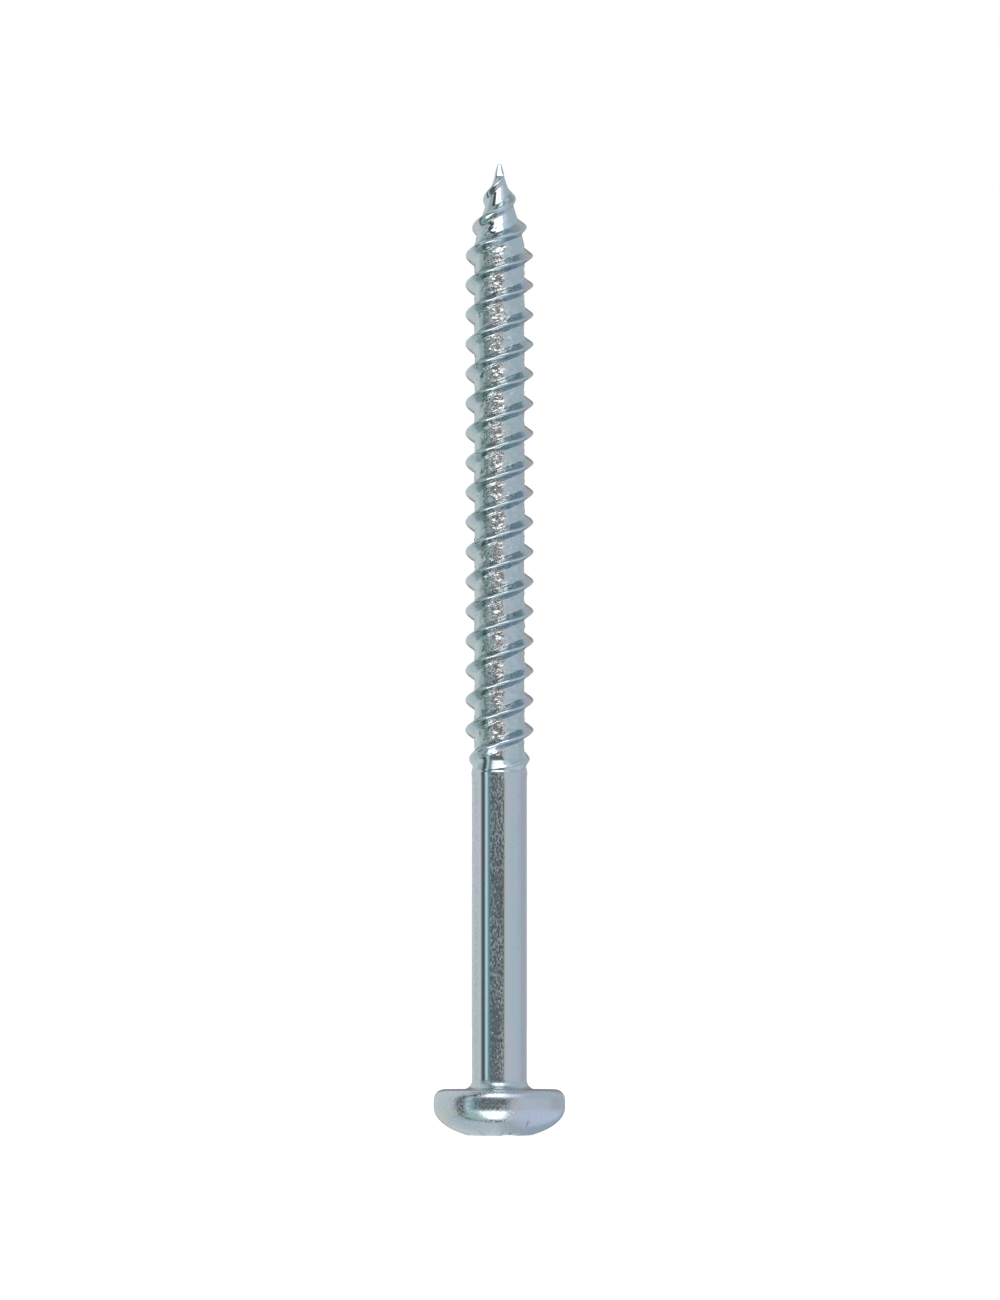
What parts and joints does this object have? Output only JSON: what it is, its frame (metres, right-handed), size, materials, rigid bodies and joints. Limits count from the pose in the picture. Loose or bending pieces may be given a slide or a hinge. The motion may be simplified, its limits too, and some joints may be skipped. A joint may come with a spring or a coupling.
{
  "type": "wood screw",
  "caption": "Pan-head wood screw with a ticked cross recess, a plain shank, a twin-start right-hand thread and a gimlet point.",
  "frame": {"origin": "centre of the crown's flat, the lowest point of the screw as it stands on its head", "axes": "+Z along the screw's axis from the crown to the point; one pair of recess wings lies 19 degrees round from +X"},
  "size_m": [0.0114, 0.0114, 0.0839],
  "materials": {
    "zinc_on_head": "bright zinc plating with a blue passivation, headed and barrel tumbled, fine pits and nicks",
    "zinc_on_shank": "bright zinc plating with a blue passivation over drawn wire, faint lines along the axis",
    "zinc_on_thread": "bright zinc plating with a blue passivation over a rolled thread, speckled between the ridges",
    "zinc_on_point": "bright zinc plating with a blue passivation over a pinched and rolled point"
  },
  "bodies": {
    "root": {"pan_head": "zinc_on_head", "plain_shank": "zinc_on_shank", "threaded_shank": "zinc_on_thread", "gimlet_point": "zinc_on_point"}
  },
  "joints": []
}
